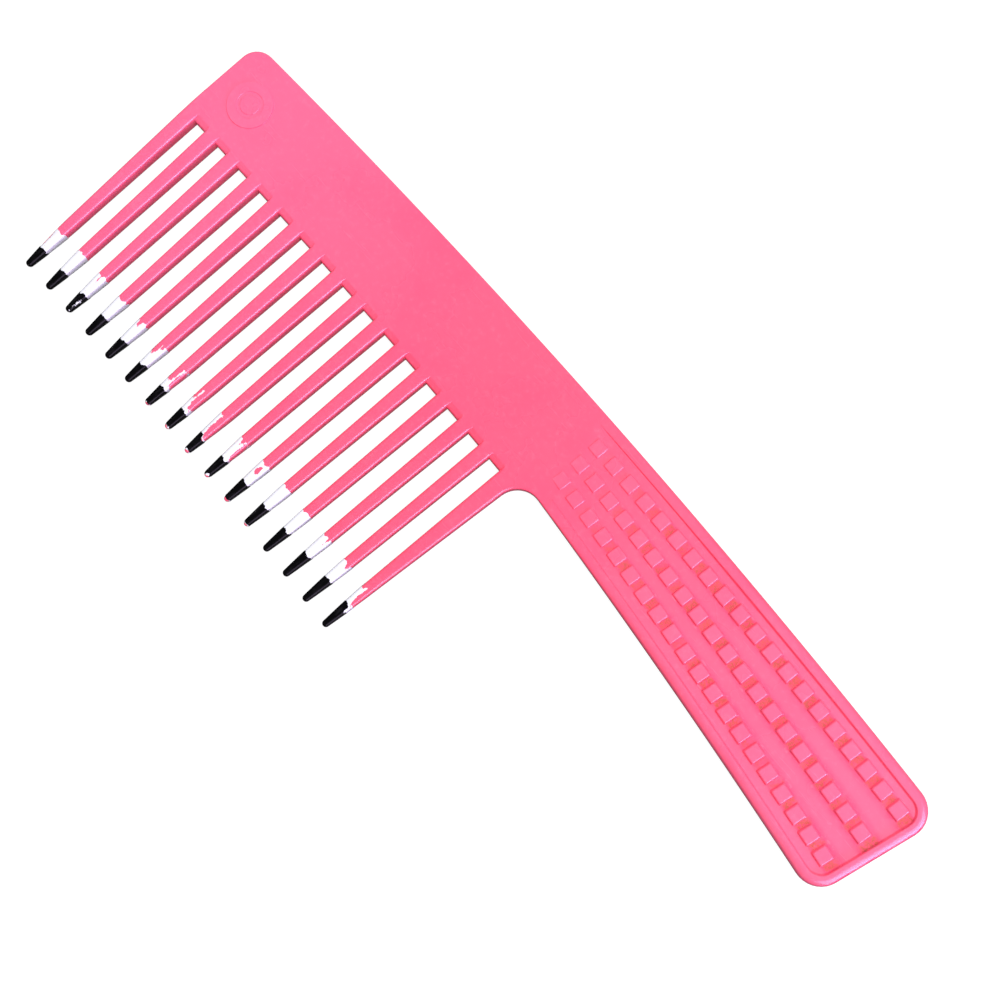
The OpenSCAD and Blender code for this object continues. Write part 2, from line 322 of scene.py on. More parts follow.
    def panel_depth(self, x: float, y: float, start: float, full: float, ramp: float) -> float:
        """Depth of a grip panel, which eases in from nothing at the neck, later along the belly."""
        back_y = self.arch_y(self.back_centre, self.bend_radius, x)
        low = (back_y - y) / self.neck_depth
        begun = x - self.panel_x - self.belly_delay * low * low
        ease = smooth((begun + self.ease_lead) / self.ease_run)
        t = min(max(begun / ramp, 0.0), 1.0)
        return ease * blend(start, full, t)

    def row_coordinates(self, x: float, y: float) -> tuple[float, float]:
        """Place of a point in the grid of studs: pitches along its row, and row from 0 to 2."""
        back_r = self.bend_radius - self.back_row_inset
        belly_r = self.bend_radius + self.belly_row_inset
        first = self.panel_x + self.first_stud_inset
        found = []
        for centre, radius, pitch in (
            (self.back_centre, back_r, self.back_row_pitch),
            (self.belly_centre, belly_r, self.belly_row_pitch),
        ):
            start = math.asin((first - centre[0]) / radius)
            turn = math.atan2(x - centre[0], y - centre[1])
            off = abs(math.dist((x, y), centre) - radius)
            found.append(((turn - start) * radius / pitch, off))
        (back_run, from_back), (belly_run, from_belly) = found
        if math.dist((x, y), self.back_centre) >= back_r:
            t = -from_back / self.outer_row_reach
        elif math.dist((x, y), self.belly_centre) <= belly_r:
            t = 1 + from_belly / self.outer_row_reach
        else:
            t = from_back / (from_back + from_belly or 1.0)
        return blend(back_run, belly_run, t), 2 * t


# --------------------------------------------------------------------------- mesh building


def mesh_object(name: str, points: Sequence[Vector], faces: Sequence[Sequence[int]]) -> bpy.types.Object:
    """Makes a mesh object, merges its seams and turns its faces outward.

    Args:
        name: name of the piece.
        points: places in row metres.
        faces: corner numbers of each face.

    Returns:
        The new object, at the origin and shaded smooth between sharp edges.
    """
    mesh = bpy.data.meshes.new(name)
    mesh.from_pydata([tuple(p) for p in points], [], [tuple(f) for f in faces])
    clean(mesh)
    obj = bpy.data.objects.new(name, mesh)
    bpy.context.scene.collection.objects.link(obj)
    return obj


def clean(mesh: bpy.types.Mesh) -> None:
    """Merges doubled corners, drops slivers, turns faces outward and marks sharp edges."""
    work = bmesh.new()
    work.from_mesh(mesh)
    bmesh.ops.remove_doubles(work, verts=work.verts[:], dist=MERGE_DISTANCE)
    bmesh.ops.dissolve_degenerate(work, dist=MERGE_DISTANCE / 2, edges=work.edges[:])
    bmesh.ops.recalc_face_normals(work, faces=work.faces[:])
    if sum(f.calc_area() * f.normal.dot(f.calc_center_median()) for f in work.faces) < 0:
        bmesh.ops.reverse_faces(work, faces=work.faces[:])
    work.to_mesh(mesh)
    work.free()
    for polygon in mesh.polygons:
        polygon.use_smooth = True
    mesh.set_sharp_from_angle(angle=SHARP_ANGLE)


def weigh_normals(obj: bpy.types.Object) -> bpy.types.Object:
    """Gives a piece normals that lean to its large faces, kept as a plain mesh."""
    modifier = obj.modifiers.new("weigh", "WEIGHTED_NORMAL")
    modifier.keep_sharp = True
    modifier.weight = 80
    return bake(obj)


def bake(obj: bpy.types.Object) -> bpy.types.Object:
    """Turns an object's modifiers into a plain mesh."""
    graph = bpy.context.evaluated_depsgraph_get()
    made = bpy.data.meshes.new_from_object(obj.evaluated_get(graph))
    made.name = obj.name
    obj.modifiers.clear()
    obj.data = made
    return obj


class SheetBuilder:
    """Collects corners and faces of the upper half of a body and mirrors them below."""

    def __init__(self, bench: Bench) -> None:
        """Starts empty."""
        self.bench = bench
        self.points: list[tuple[float, float, float]] = []
        self.faces: list[tuple[int, ...]] = []

    def add(self, x: float, y: float, z: float) -> int:
        """Adds a corner in bench millimetres and returns its number."""
        self.points.append((x, y, z))
        return len(self.points) - 1

    def strip(self, a: Sequence[int], b: Sequence[int]) -> None:
        """Quads between two rows of corners."""
        for k in range(len(a) - 1):
            self.faces.append((a[k], b[k], b[k + 1], a[k + 1]))

    def sheet(self, rows: Sequence[Sequence[int]]) -> None:
        """Quads between each row and the next."""
        for a, b in zip(rows, rows[1:]):
            self.strip(a, b)

    def finish(self, name: str, mirrored: bool = True) -> bpy.types.Object:
        """Makes the object, with its mirror image below the middle plane."""
        points = [self.bench.place(*p) for p in self.points]
        faces = list(self.faces)
        if mirrored:
            count = len(points)
            points += [self.bench.place(x, y, -z) for x, y, z in self.points]
            faces += [tuple(count + k for k in reversed(f)) for f in self.faces]
        return mesh_object(name, points, faces)


@dataclass(frozen=True)
class EdgeProfile:
    """Cross-section of an edge: a drafted wall from the middle plane, then a rounded arris."""

    draft: float = 0.12
    steps: int = 4

    def rings(self, half: float, arris: float, base: float = 0.0) -> list[Ring]:
        """Inset and height of each ring.

        Args:
            half: half thickness of the body.
            arris: radius of the rounding.
            base: height at which the wall starts.

        Returns:
            Rings from the wall's foot to the flat top.
        """
        turn_z = half - arris
        if base > turn_z:
            share = (half - base) / max(arris, 1e-9)
            arris *= share
            turn_z = half - arris
        foot = self.draft * base / half
        wall = self.draft * turn_z / half
        rings = [(foot, base), (wall, turn_z)]
        for k in range(1, self.steps + 1):
            a = math.pi / 2 * k / self.steps
            rings.append((wall + arris * (1 - math.cos(a)), turn_z + arris * math.sin(a)))
        return rings


# --------------------------------------------------------------------------- the moulding


@dataclass
class ToothShape:
    """Columns of stations down one side of a tooth, round its tip and up the other."""

    plan: CombPlan
    arris: float = 0.72
    tip_arris: float = 0.66
    land_drop: float = 0.9
    land_lip: float = 0.4
    land_steps: int = 7
    shank_steps: int = 12
    tip_steps: int = 9
    round_steps: int = 7

    def arris_at(self, i: int, down: float) -> float:
        """Radius of the arris, which grows towards the tip."""
        plan = self.plan
        end = plan.length_of(i) - plan.tip_width / 2
        t = min(max((down - plan.shoulder(i)) / (end - plan.shoulder(i)), 0.0), 1.0)
        return blend(self.arris, self.tip_arris, t**1.5)

    def land_height(self, rise: float) -> float:
        """Height of the sloping land and its rounded lip, a distance up from the end of the gap."""
        fall = self.land_drop * (1 - min(rise / self.plan.land_rise, 1.0))
        lip = 1 - min(rise / self.land_lip, 1.0)
        return (self.plan.half - fall) * math.sqrt(max(1 - lip * lip, 0.0))

    def downs(self, i: int, start: float) -> list[float]:
        """Distances down tooth i from start to where its round end begins."""
        plan = self.plan
        shoulder, end = plan.shoulder(i), plan.length_of(i) - plan.tip_width / 2
        if start < shoulder:
            return spaced(start, shoulder, self.shank_steps) + spaced(shoulder, end, self.tip_steps)[1:]
        return spaced(start, end, self.tip_steps)

    def rises(self) -> list[float]:
        """Distances up the root land, closer together low down where it is steep."""
        turns = spaced(0.0, 1.0, self.land_steps)
        return [self.plan.land_rise * (1 - math.cos(math.pi / 2 * t)) for t in turns]

    def side(self, i: int, side: int, start: float, land: bool, grow: float = 0.0) -> list[Station]:
        """Stations down one side of tooth i.

        Args:
            i: number of the tooth.
            side: -1 for the head's side, 1 for the handle's side.
            start: how far down the tooth the run starts.
            land: whether a root land meets this side above the root.
            grow: thickness of paint over it.

        Returns:
            Stations from the top of the run to the start of the round end.
        """
        plan = self.plan
        found: list[Station] = []
        angle = -plan.tooth_turn(i) - plan.tooth_lean
        inward = (-side * math.cos(angle), -side * math.sin(angle))
        if land:
            for rise in reversed(self.rises()[1:]):
                at = plan.tooth_point(i, side * plan.half_width(i, 0.0, side), -rise)
                found.append(Station(at, inward, plan.half, self.arris, self.land_height(rise)))
        for down in self.downs(i, start):
            at = plan.tooth_point(i, side * (plan.half_width(i, down, side) + grow), down)
            half, arris = plan.half_thickness(i, down) + grow, self.arris_at(i, down) + grow / 2
            found.append(Station(at, inward, half, arris))
        return found

    def round_end(self, i: int, grow: float = 0.0) -> list[Station]:
        """Stations round the tip, from the head's side to the handle's side, without the first and last."""
        plan = self.plan
        radius = plan.tip_width / 2 + grow
        down = plan.length_of(i) - plan.tip_width / 2
        angle = -plan.tooth_turn(i) - plan.tooth_lean
        half, arris = plan.tip_thickness / 2 + grow, self.arris_at(i, down) + grow / 2
        found: list[Station] = []
        for k in range(1, 2 * self.round_steps):
            a = math.pi + math.pi * k / (2 * self.round_steps)
            at = plan.tooth_point(i, radius * math.cos(a), down - radius * math.sin(a))
            found.append(Station(at, (-math.cos(a + angle), -math.sin(a + angle)), half, arris))
        return found


@dataclass
class Moulding:
    """The pink moulding: spine, teeth, neck and handle as one closed skin."""

    plan: CombPlan
    teeth: ToothShape
    profile: EdgeProfile = EdgeProfile()
    back_arris: float = 0.5
    grip_arris: float = 1.7
    grip_arris_run: float = 55.0
    rim: float = 2.5
    rim_edge: float = 0.22
    wall_slope: float = 0.4
    floor_edge: float = 0.25
    start_depth: float = 0.34
    full_depth: float = 1.0
    depth_ramp: float = 48.0
    floor_columns: int = 14
    grip_steps: int = 44
    corner_steps: int = 9
    end_steps: int = 6
    spine_steps: int = 30
    fillet_steps: int = 12
    rim_lead: float = 1.5
    shortest_step: float = 0.3
    grid_lead: float = 8.0

    def build(self) -> bpy.types.Object:
        """Builds the whole skin.

        Returns:
            The piece, with the stud grid kept in its grip_grid attribute.
        """
        self.sheet = SheetBuilder(self.plan.bench)
        top = self._teeth_between()
        self._outer_run(top)
        obj = self.sheet.finish("comb_moulding")
        self._mark_grid(obj.data)
        return weigh_normals(obj)

    # -- columns

    def _column(self, station: Station) -> list[int]:
        """Corners of one station's cross-section, from its foot to the flat top."""
        return [
            self.sheet.add(*station.inset(inset), z)
            for inset, z in self.profile.rings(station.half, station.arris, station.base)
        ]

    def _tooth_top(self, left: Sequence[list[int]], right: Sequence[list[int]],
                   tip: Sequence[list[int]]) -> None:
        """Flat top of a tooth, between its two sides and round its tip."""
        rows = [[a[-1], b[-1]] for a, b in zip(left, right)]
        around = [c[-1] for c in tip]
        half = len(around) // 2
        rows += [[around[k], around[-1 - k]] for k in range(half)]
        self.sheet.sheet(rows)
        self.sheet.faces.append((rows[-1][0], around[half], rows[-1][1]))

    def _land(self, right: Sequence[list[int]], left: Sequence[list[int]]) -> None:
        """Rounded land between the right side of one tooth and the left side of the next."""
        count = self.teeth.land_steps
        self.sheet.sheet([[right[k][0], left[k][0]] for k in range(count + 1)])

    def _teeth_between(self) -> list[int]:
        """Teeth 2 to 15 whole, with the lands either side of them.

        Returns:
            Corners along the top of the teeth, from tooth 1's right side to tooth 16's left side.
        """
        run: list[int] = []
        shape = self.teeth
        self.first_right = [self._column(s) for s in shape.side(1, 1, 0.0, True)]
        self.last_left = [self._column(s) for s in shape.side(TEETH, -1, 0.0, True)]
        before = self.first_right
        run.append(before[0][-1])
        for i in range(2, TEETH):
            left = [self._column(s) for s in shape.side(i, -1, 0.0, True)]
            right = [self._column(s) for s in shape.side(i, 1, 0.0, True)]
            tip = [self._column(s) for s in shape.round_end(i)]
            self.sheet.sheet(left + tip + right[::-1])
            self._tooth_top(left, right, tip)
            self._land(before, left)
            run += [left[0][-1], right[0][-1]]
            before = right
        self._land(before, self.last_left)
        run.append(self.last_left[0][-1])
        return run

    # -- the long way round

    def _fillet(self) -> tuple[list[Point], float]:
        """Neck fillet's points and how far down the last tooth it starts."""
        plan = self.plan
        shoulder = plan.shoulder(TEETH)
        low = plan.tooth_point(TEETH, plan.half_width(TEETH, shoulder, 1), shoulder)
        corner = plan.last_corner
        run = Vector(low) - Vector(corner)
        edge = Vector((-run.y, run.x)).normalized()
        x0, x1 = plan.neck_x, plan.neck_x + plan.fillet_radius
        belly0 = Vector((x0, plan.arch_y(plan.belly_centre, plan.bend_radius, x0)))
        belly1 = Vector((x1, plan.arch_y(plan.belly_centre, plan.bend_radius, x1)))
        along = (belly1 - belly0).normalized()
        under = Vector((along.y, -along.x))
        det = edge.x * under.y - edge.y * under.x
        e = edge.dot(Vector(corner)) + plan.fillet_radius
        f = under.dot(belly0) + plan.fillet_radius
        centre = ((e * under.y - f * edge.y) / det, (edge.x * f - under.x * e) / det)
        start, end = math.atan2(-edge.y, -edge.x), math.atan2(-under.y, -under.x)
        if start < 0:
            start += math.tau
        points = [polar(centre, plan.fillet_radius, a) for a in spaced(start, end, self.fillet_steps)]
        down = (Vector(points[0]) - Vector(corner)).length
        return points, down

    def _grip_arris(self, x: float) -> float:
        """Rounding of the handle's outer edge, which grows away from the neck."""
        return blend(self.back_arris, self.grip_arris, smooth((x - self.plan.neck_x) / self.grip_arris_run))

    def _outline(self) -> tuple[list[Point], int, int]:
        """Points from the neck fillet round the handle and the back to the head's end.

        Returns:
            The points, and the numbers of the first and last that carry the panel's rim.
        """
        plan = self.plan
        fillet, _ = self._fillet()
        upper, lower = plan.upper_corner, plan.lower_corner
        upper_top = heading(plan.back_centre, upper)
        lower_base = heading(lower, plan.belly_centre)
        start = plan.panel_x - self.rim_lead
        belly_end = lower[0] + plan.end_corner * math.cos(lower_base)
        back_end = upper[0] + plan.end_corner * math.cos(upper_top)
        belly = [
            (x, plan.arch_y(plan.belly_centre, plan.bend_radius, x))
            for x in spaced(start, belly_end, self.grip_steps)
        ]
        back = [
            (x, plan.arch_y(plan.back_centre, plan.bend_radius, x))
            for x in spaced(back_end, start, self.grip_steps)
        ]
        gap = (start - fillet[-1][0]) / 4
        if gap < self.shortest_step:
            belly = [p for p in belly if p[0] > fillet[-1][0] + self.shortest_step]
            joint: list[Point] = []
        else:
            joint = [
                (x, plan.arch_y(plan.belly_centre, plan.bend_radius, x))
                for x in spaced(fillet[-1][0], start, 4)[1:-1]
            ]
        low_arc, high_arc = (
            [polar(corner, plan.end_corner, a) for a in spaced(a0, a1, self.corner_steps)]
            for corner, a0, a1 in ((lower, lower_base, -plan.end_rake), (upper, -plan.end_rake, upper_top))
        )
        end = [
            (blend(low_arc[-1][0], high_arc[0][0], t), blend(low_arc[-1][1], high_arc[0][1], t))
            for t in spaced(0, 1, self.end_steps)
        ][1:-1]
        corner_r = plan.head_corner
        corner = (corner_r, plan.arch_y(plan.back_centre, plan.bend_radius - corner_r, corner_r))
        corner_top = heading(plan.back_centre, corner)
        arc = [polar(corner, corner_r, a) for a in spaced(corner_top, math.pi, self.corner_steps)]
        spine_back = [
            (x, plan.arch_y(plan.back_centre, plan.bend_radius, x))
            for x in spaced(start, arc[0][0], self.spine_steps)
        ][1:-1]
        top_of_tooth = plan.tooth_point(1, -plan.root_width / 2, -plan.land_rise)
        head_end = [
            (blend(arc[-1][0], top_of_tooth[0], t), blend(arc[-1][1], top_of_tooth[1], t))
            for t in spaced(0, 1, 6)
        ][1:-1]
        handle = belly[:-1] + low_arc + end + high_arc + back[1:]
        first = len(fillet) + len(joint)
        points = fillet + joint + handle + spine_back + arc + head_end
        return points, first, first + len(handle) - 1

    def _outer_run(self, top: list[int]) -> None:
        """Skin of the last tooth, the neck, the handle, the back and the first tooth."""
        plan, shape, sheet = self.plan, self.teeth, self.sheet
        points, rim_from, rim_to = self._outline()
        _, fillet_down = self._fillet()
        last_right = [self._column(s) for s in shape.side(TEETH, 1, fillet_down, False)]
        last_tip = [self._column(s) for s in shape.round_end(TEETH)]
        first_left = [self._column(s) for s in shape.side(1, -1, -plan.land_rise, False)]
        first_tip = [self._column(s) for s in shape.round_end(1)]
        normals = inward_normals(points)
        run = []
        for k, (at, inward) in enumerate(zip(points, normals)):
            arris = self._grip_arris(at[0]) if at[0] > plan.neck_x else self.back_arris
            if k < rim_from and at[1] < -plan.spine_depth + plan.neck_depth / 8:
                arris = blend(shape.arris, self.back_arris, smooth(k / len(points[:rim_from])))
            half = plan.half
            if k == 0:
                half = plan.half_thickness(TEETH, fillet_down)
                arris = shape.arris
            run.append(Station(at, inward, half, arris))
        columns = [self._column(s) for s in run[1:]]
        joined = [last_right[0]] + columns
        rim = self._rim(run, rim_from, rim_to, joined)
        last = self.last_left + last_tip + last_right[::-1]
        sheet.sheet(last + columns + first_left + first_tip + self.first_right[::-1])
        self._last_tooth_top(self.last_left, last_right, last_tip, fillet_down)
        self._first_tooth_top(first_left, first_tip)
        flat = [c[-1] for c in joined[: rim_from + 1]]
        flat += rim
        flat += [c[-1] for c in joined[rim_to:]]
        flat.append(first_left[0][-1])
        flat += top
        flat += self.last_tooth_edge
        sheet.faces.append(tuple(dict.fromkeys(flat)))

    def _first_tooth_top(self, left: Sequence[list[int]], tip: Sequence[list[int]]) -> None:
        """Top of the first tooth, whose head side carries no land."""
        right = self.first_right
        lands = self.teeth.land_steps
        rest = right[lands:]
        extra = len(rest) - len(left)
        rows_left = [left[0]] * max(extra, 0) + list(left)
        self.sheet.faces.append((left[0][-1], *[c[-1] for c in right[lands::-1]]))
        self._tooth_top(rows_left[-len(rest):], rest, tip)

    def _last_tooth_top(self, left: Sequence[list[int]], right: Sequence[list[int]],
                        tip: Sequence[list[int]], down: float) -> None:
        """Top of the last tooth from where the neck fillet leaves it; the rest joins the flat."""
        lands = self.teeth.land_steps
        downs = self.teeth.downs(TEETH, 0.0)
        first = next(k for k, d in enumerate(downs) if d >= down)
        count = min(len(left) - lands - first, len(right))
        self._tooth_top(left[-count:], right[-count:], tip)
        fan_left = [c[-1] for c in left[: len(left) - count + 1]]
        fan_right = [c[-1] for c in right[: len(right) - count + 1]]
        self.last_tooth_edge = fan_left[1:] + fan_right[::-1]

    # -- the grip panel

    def _depth(self, x: float, y: float) -> float:
        """Depth of the panel at a point."""
        return self.plan.panel_depth(x, y, self.start_depth, self.full_depth, self.depth_ramp)

    def _rim_rings(self, depth: float) -> list[Ring]:
        """Inset and drop of the rings from the rim's inner edge to the panel's floor."""
        edge = min(self.rim_edge, depth / 2)
        foot = min(self.floor_edge, depth / 4)
        slope = self.wall_slope * (depth - edge - foot)
        rings = [(self.rim - edge, 0.0), (self.rim - edge * 0.3, edge * 0.3), (self.rim, edge)]
        rings.append((self.rim + slope, depth - foot))
        rings.append((self.rim + slope + foot * 0.3, depth - foot * 0.3))
        rings.append((self.rim + slope + foot, depth))
        return rings

    def _rim(self, run: Sequence[Station], first: int, last: int, columns: Sequence[list[int]]) -> list[int]:
        """Rim, inner wall and floor of the panel.

        Args:
            run: stations of the outline.
            first: number of the first station with a rim, on the belly.
            last: number of the last, on the back.
            columns: corners of the outline's cross-sections.

        Returns:
            Corners across the panel's start, from the belly to the back.
        """
        sheet, half = self.sheet, self.plan.half
        inner: list[list[int]] = []
        floor: list[Point] = []
        for station in run[first : last + 1]:
            rings = self._rim_rings(self._depth(*station.inset(self.rim)))
            column = []
            for inset, drop in rings:
                x, y = station.inset(inset)
                column.append(sheet.add(x, y, half - drop))
            floor.append(station.inset(rings[-1][0]))
            inner.append(column)
        for k in range(len(inner) - 1):
            outer_a, outer_b = columns[first + k][-1], columns[first + k + 1][-1]
            sheet.faces.append((outer_a, outer_b, inner[k + 1][0], inner[k][0]))
            sheet.strip(inner[k], inner[k + 1])
        pairs = len(floor) // 2
        rows: list[list[int]] = []
        for k in range(pairs):
            a, b = floor[k], floor[-1 - k]
            row = [inner[k][-1]]
            for t in spaced(0, 1, self.floor_columns)[1:-1]:
                x, y = blend(a[0], b[0], t), blend(a[1], b[1], t)
                row.append(sheet.add(x, y, half - self._depth(x, y)))
            row.append(inner[-1 - k][-1])
            rows.append(row)
        sheet.sheet([list(reversed(r)) for r in rows])
        if len(floor) % 2:
            centre = inner[pairs][-1]
            for a, b in zip(rows[-1], rows[-1][1:]):
                sheet.faces.append((a, centre, b))
        return rows[0]

    def _mark_grid(self, mesh: bpy.types.Mesh) -> None:
        """Keeps each corner's place in the grid of studs: along, row, and depth below the rim."""
        plan, bench = self.plan, self.plan.bench
        attribute = mesh.attributes.new("grip_grid", "FLOAT_VECTOR", "POINT")
        for vertex, value in zip(mesh.vertices, attribute.data):
            x = vertex.co.x / MM - bench.head_x
            y = vertex.co.y / MM - bench.crest_y
            z = abs(vertex.co.z / MM - bench.middle_z)
            if x > plan.panel_x - self.grid_lead:
                along, row = plan.row_coordinates(x, y)
                value.vector = (along, row, plan.half - z)
            else:
                value.vector = OFF_GRID


# --------------------------------------------------------------------------- dipped paint


class Coat(Enum):
    """The two dips of paint."""

    WHITE = "white"
    BLACK = "black"


@dataclass(frozen=True)
class Chip:
    """A place where paint is gone from a coat.

    Args:
        across: middle of the chip across the tooth, -1 to 1.
        up: height of the chip below the coat's upper edge, in millimetres.
        wide: its width, 0 to 2.
        tall: its height in millimetres.
    """

    across: float
    up: float
    wide: float
    tall: float


@dataclass
class ToothPaint:
    """One coat of paint on one tooth, as a closed shell with a cover value at each corner."""

    plan: CombPlan
    teeth: ToothShape
    coat: Coat
    tooth: int
    chips: tuple[Chip, ...] = ()
    tip_wear: float = 0.5
    edge_wander: float = 0.35
    columns: int = 10
    rows: int = 34
    thickness: float = 0.06
    white_dip: float = 11.7
    black_dip: float = 6.1
    dip_slant: float = 2.1
    shallow_tooth: float = 8.5
    shallow_reach: float = 5.0
    shallow_by: float = 0.6
    spare: float = 0.9
    profile: EdgeProfile = EdgeProfile()

    @property
    def node(self) -> str:
        """The CAD node that this shell stands for."""
        return f"{self.coat.value}_coat_{self.tooth:02d}"

    def dip(self) -> float:
        """Length of tooth that was dipped."""
        slant = self.dip_slant * ((self.tooth - 1) / (TEETH - 1) - 0.5)
        if self.coat is Coat.WHITE:
            return self.white_dip + slant
        from_middle = (self.tooth - self.shallow_tooth) / self.shallow_reach
        return self.black_dip + slant - self.shallow_by * max(1 - from_middle * from_middle, 0.0)

    def build(self) -> bpy.types.Object:
        """Builds the shell.

        Returns:
            The piece, with its cover attribute: above zero where paint is left, in millimetres.
        """
        plan, shape, i = self.plan, self.teeth, self.tooth
        grow = self.thickness * (1 if self.coat is Coat.WHITE else 2)
        start = plan.length_of(i) - self.dip() - self.spare
        end = plan.length_of(i) - plan.tip_width / 2
        sheet = SheetBuilder(plan.bench)
        angle = -plan.tooth_turn(i) - plan.tooth_lean
        sides: dict[int, list[list[int]]] = {}
        for side in (-1, 1):
            inward = (-side * math.cos(angle), -side * math.sin(angle))
            columns = []
            for k, down in enumerate(spaced(start, end, self.rows)):
                skin = -0.05 if k == 0 else grow
                at = plan.tooth_point(i, side * (plan.half_width(i, down, side) + skin), down)
                half = plan.half_thickness(i, down) + skin
                arris = shape.arris_at(i, down) + skin / 2
                columns.append(self._column(sheet, Station(at, inward, half, arris)))
            sides[side] = columns
        tip = [self._column(sheet, s) for s in shape.round_end(i, grow)]
        sheet.sheet(sides[-1] + tip + sides[1][::-1])
        rows = [self._across(sheet, a[-1], b[-1]) for a, b in zip(sides[-1], sides[1])]
        around = [c[-1] for c in tip]
        half_count = len(around) // 2
        rows += [self._across(sheet, around[k], around[-1 - k]) for k in range(half_count)]
        sheet.sheet(rows)
        last = rows[-1]
        for a, b in zip(last, last[1:]):
            sheet.faces.append((a, around[half_count], b))
        left, right = sides[-1][0], sides[1][0]
        sheet.faces.append((*left, *rows[0][1:-1], *right[::-1]))
        obj = sheet.finish(f"{self.coat.value}_dip_{i:02d}")
        self._mark_cover(obj.data)
        return obj

    def _column(self, sheet: SheetBuilder, station: Station) -> list[int]:
        """Corners of one cross-section."""
        return [
            sheet.add(*station.inset(inset), z)
            for inset, z in self.profile.rings(station.half, station.arris)
        ]

    def _across(self, sheet: SheetBuilder, a: int, b: int) -> list[int]:
        """Corners across the flat top, between two that are there."""
        pa, pb = sheet.points[a], sheet.points[b]
        inner = [
            sheet.add(*(blend(p, q, t) for p, q in zip(pa, pb)))
            for t in spaced(0, 1, self.columns)[1:-1]
        ]
        return [a, *inner, b]

    def _mark_cover(self, mesh: bpy.types.Mesh) -> None:
        """Keeps how much paint is left at each corner."""
        plan, bench, i = self.plan, self.plan.bench, self.tooth
        attribute = mesh.attributes.new("cover", "FLOAT", "POINT")
        grid = mesh.attributes.new("tooth_place", "FLOAT_VECTOR", "POINT")
        root = plan.tooth_root(i)
        angle = -plan.tooth_turn(i) - plan.tooth_lean
        c, s = math.cos(angle), math.sin(angle)
        start = plan.length_of(i) - self.dip()
        seed = i * 7.31 + (0 if self.coat is Coat.WHITE else 53.7)
        for vertex, value, place in zip(mesh.vertices, attribute.data, grid.data):
            x = vertex.co.x / MM - bench.head_x - root[0]
            y = vertex.co.y / MM - bench.crest_y - root[1]
            z = vertex.co.z / MM - bench.middle_z
            across, down = x * c + y * s, x * s - y * c
            width = max(plan.half_width(i, down, -1), 0.5)
            below = down - start
            wander = noise.noise(Vector((across * 0.9, z * 0.9, seed))) * 1.6
            wander += noise.noise(Vector((across * 2.6, z * 2.6, seed + 9))) * 0.7
            cover = below + self.edge_wander * wander
            for chip in self.chips:
                u = (across / width - chip.across) / chip.wide
                v = (below - chip.up) / chip.tall
                bite = (math.sqrt(u * u + v * v) - 1) * min(chip.wide * width, chip.tall)
                cover = min(cover, bite + 0.25 * noise.noise(Vector((across * 3, down * 3, seed))))
            to_tip = plan.length_of(i) - down
            rub = noise.noise(Vector((across * 1.4, down * 1.2, seed + z * 1.4)))
            cover = min(cover, to_tip - self.tip_wear * (0.9 + 0.7 * rub))
            value.value = cover
            place.vector = (across / width, below, float(i))


# --------------------------------------------------------------------------- shader maths




class Graph:
    """A node tree with one method that makes any node."""

    def __init__(self, tree: bpy.types.NodeTree) -> None:
        """Takes an empty tree."""
        self.tree = tree

    def node(self, kind: str, settings: dict | None = None, **values: object) -> bpy.types.Node:
        """Adds a node.

        Args:
            kind: its type.
            settings: properties, set before anything is linked.
            values: inputs by name or number, with underscores for spaces; a number, tuple or Socket.

        Returns:
            The node.
        """
        made = self.tree.nodes.new(kind)
        for key, value in (settings or {}).items():
            setattr(made, key, value)
        for key, value in values.items():
            name = key.lstrip("_").replace("_", " ")
            socket = made.inputs[int(name)] if name.isdigit() else made.inputs[name]
            self.feed(socket, value)
        return made

    def feed(self, socket: bpy.types.NodeSocket, value: object) -> None:
        """Sets an input, or links it."""
        if isinstance(value, Socket):
            self.tree.links.new(value.socket, socket)
        elif isinstance(value, bpy.types.NodeSocket):
            self.tree.links.new(value, socket)
        else:
            socket.default_value = value

    def wrap(self, socket: bpy.types.NodeSocket) -> "Socket":
        """Wraps an output for maths."""
        return Socket(self, socket)

    def maths(self, operation: str, *values: object) -> "Socket":
        """One Math node."""
        made = self.tree.nodes.new("ShaderNodeMath")
        made.operation = operation
        for socket, value in zip(made.inputs, values):
            self.feed(socket, value)
        return self.wrap(made.outputs[0])

    def noise(self, vector: object, scale: float, detail: float = 3.0, rough: float = 0.55) -> "Socket":
        """Noise texture's value."""
        made = self.node("ShaderNodeTexNoise", Vector=vector, Scale=scale, Detail=detail, Roughness=rough)
        return self.wrap(made.outputs["Fac"])

    def attribute(self, name: str, output: str) -> bpy.types.NodeSocket:
        """An output of a mesh attribute."""
        return self.node("ShaderNodeAttribute", {"attribute_name": name}).outputs[output]

    def mix(self, factor: object, a: object, b: object) -> bpy.types.NodeSocket:
        """Colour between a and b."""
        made = self.node("ShaderNodeMix", {"data_type": "RGBA"})
        self.feed(made.inputs[0], factor)
        self.feed(made.inputs[6], a)
        self.feed(made.inputs[7], b)
        return made.outputs[2]

    def parts(self, vector: object) -> list["Socket"]:
        """The three parts of a vector."""
        made = self.node("ShaderNodeSeparateXYZ", Vector=vector)
        return [self.wrap(s) for s in made.outputs]

    def join(self, x: object, y: object, z: object) -> bpy.types.NodeSocket:
        """A vector from three values."""
        return self.node("ShaderNodeCombineXYZ", X=x, Y=y, Z=z).outputs[0]


